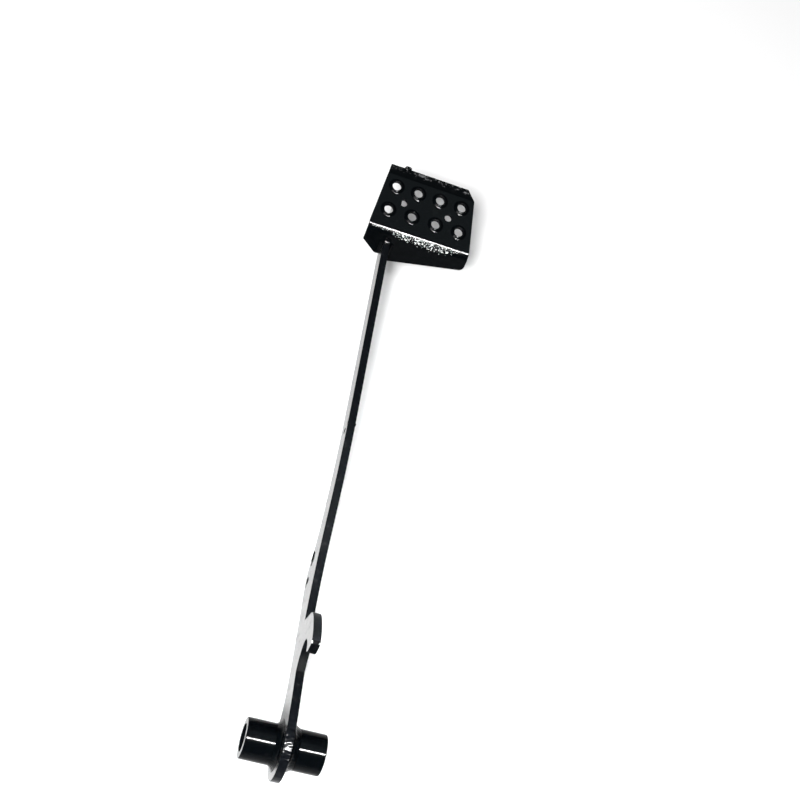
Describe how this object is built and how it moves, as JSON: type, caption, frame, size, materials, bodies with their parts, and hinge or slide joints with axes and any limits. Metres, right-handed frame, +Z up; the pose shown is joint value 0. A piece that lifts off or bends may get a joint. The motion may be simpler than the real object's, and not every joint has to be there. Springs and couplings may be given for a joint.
{
  "type": "foot pedal lever",
  "caption": "Welded steel foot pedal lever: a pivot tube with bushes and sleeve, a flat plate arm with a spring hook, and a bent tread plate with raised grip holes.",
  "frame": {"origin": "middle of the pivot tube, on its axis", "axes": "+X along the pivot axis, +Y from the pivot towards the tread, +Z up on the side of the tread's stepping face"},
  "size_m": [0.1013, 0.5325, 0.0746],
  "materials": {
    "black_paint": "gloss",
    "bush_plastic": "matte",
    "bare_steel": "satin"
  },
  "bodies": {
    "pivot": {"pivot_sleeve": "bare_steel"},
    "pedal": {"arm_plate": "black_paint", "pivot_tube": "black_paint", "tread_plate": "black_paint", "left_bushing": "bush_plastic", "right_bushing": "bush_plastic", "left_tube_weld": "black_paint", "right_tube_weld": "black_paint", "tread_left_weld": "black_paint", "tread_right_weld": "black_paint", "tread_end_weld": "black_paint", "flange_left_weld": "black_paint", "flange_right_weld": "black_paint", "flange_top_weld": "black_paint"}
  },
  "joints": [
    {"name": "pedal_swing", "type": "hinge", "parent": "pivot", "child": "pedal", "pos_m": [0, 0, 0], "axis": [1, 0, 0], "range_deg": [0, 30]}
  ]
}
